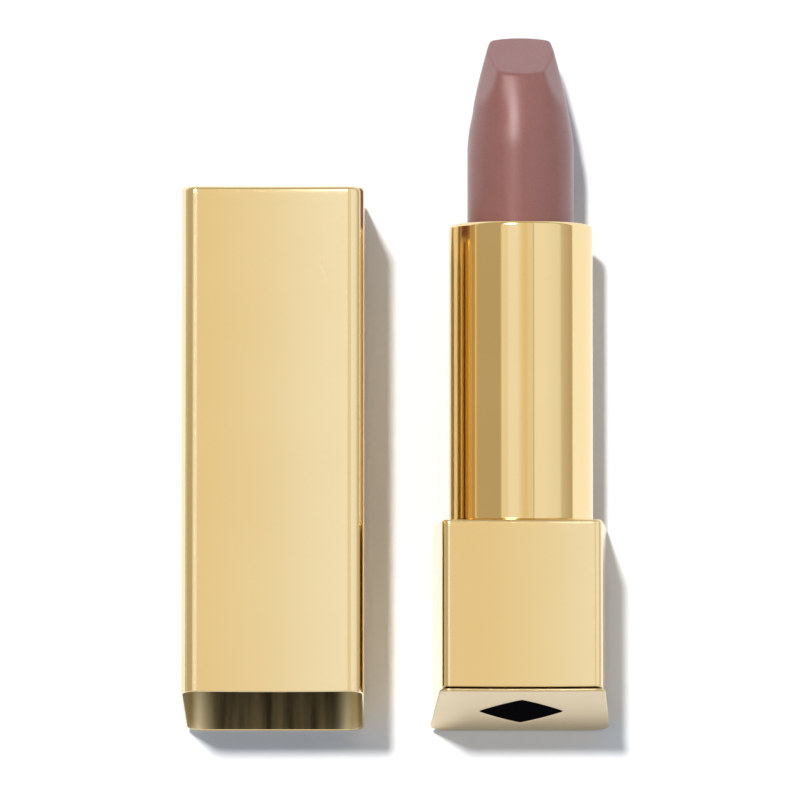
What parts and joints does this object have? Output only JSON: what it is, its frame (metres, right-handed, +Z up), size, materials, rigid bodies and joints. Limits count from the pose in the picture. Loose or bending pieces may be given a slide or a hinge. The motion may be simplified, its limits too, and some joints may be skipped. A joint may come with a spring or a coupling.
{
  "type": "lipstick case",
  "caption": "Square gold twist-up lipstick case with a slanted bottom and cap mouth; the cap lies off and the bullet is raised.",
  "frame": {"origin": "centre of the bounding box on the floor that both pieces lie on, back faces down", "axes": "+Y along the case's axis towards the bullet's tip, +X from the cap to the lipstick, +Z up out of the front faces"},
  "size_m": [0.0485, 0.0792, 0.0206],
  "materials": {
    "polished_gold": "polished and gold anodised",
    "satin_champagne": "satin champagne anodised",
    "black_enamel": "gloss black enamel",
    "core_resin": "matt dark moulded resin",
    "white_acetal": "satin white moulded acetal",
    "weight_steel": "zinc plated",
    "drag_rubber": "greased",
    "lipstick": "waxy satin"
  },
  "bodies": {
    "base": {"base_shell": "polished_gold", "base_plate": "satin_champagne", "mark_inlay": "black_enamel", "base_core": "core_resin", "base_weight": "weight_steel", "inner_body": "white_acetal", "friction_ring": "drag_rubber"},
    "tube": {"outer_tube": "polished_gold", "cam_sleeve": "white_acetal"},
    "carrier": {"carrier_cup": "white_acetal", "bullet": "lipstick"},
    "cap": {"cap_shell": "polished_gold", "cap_liner": "core_resin", "cap_weight": "weight_steel"}
  },
  "joints": [
    {"name": "tube_twist", "type": "hinge", "parent": "base", "child": "tube", "pos_m": [0.014, -0.00529, 0.0103], "axis": [0, 1, 0], "range_deg": [0, 540]},
    {"name": "carrier_rise", "type": "slide", "parent": "base", "child": "carrier", "axis": [0, 1, 0], "range_m": [-0.0225, 0]},
    {"name": "cap_pull", "type": "slide", "parent": "base", "child": "cap", "axis": [0, 1, 0], "range_m": [0, 0.056]}
  ],
  "couplings": [
    {"joint": "tube_twist", "follows": "carrier_rise", "rad_per_m": -418.88}
  ]
}
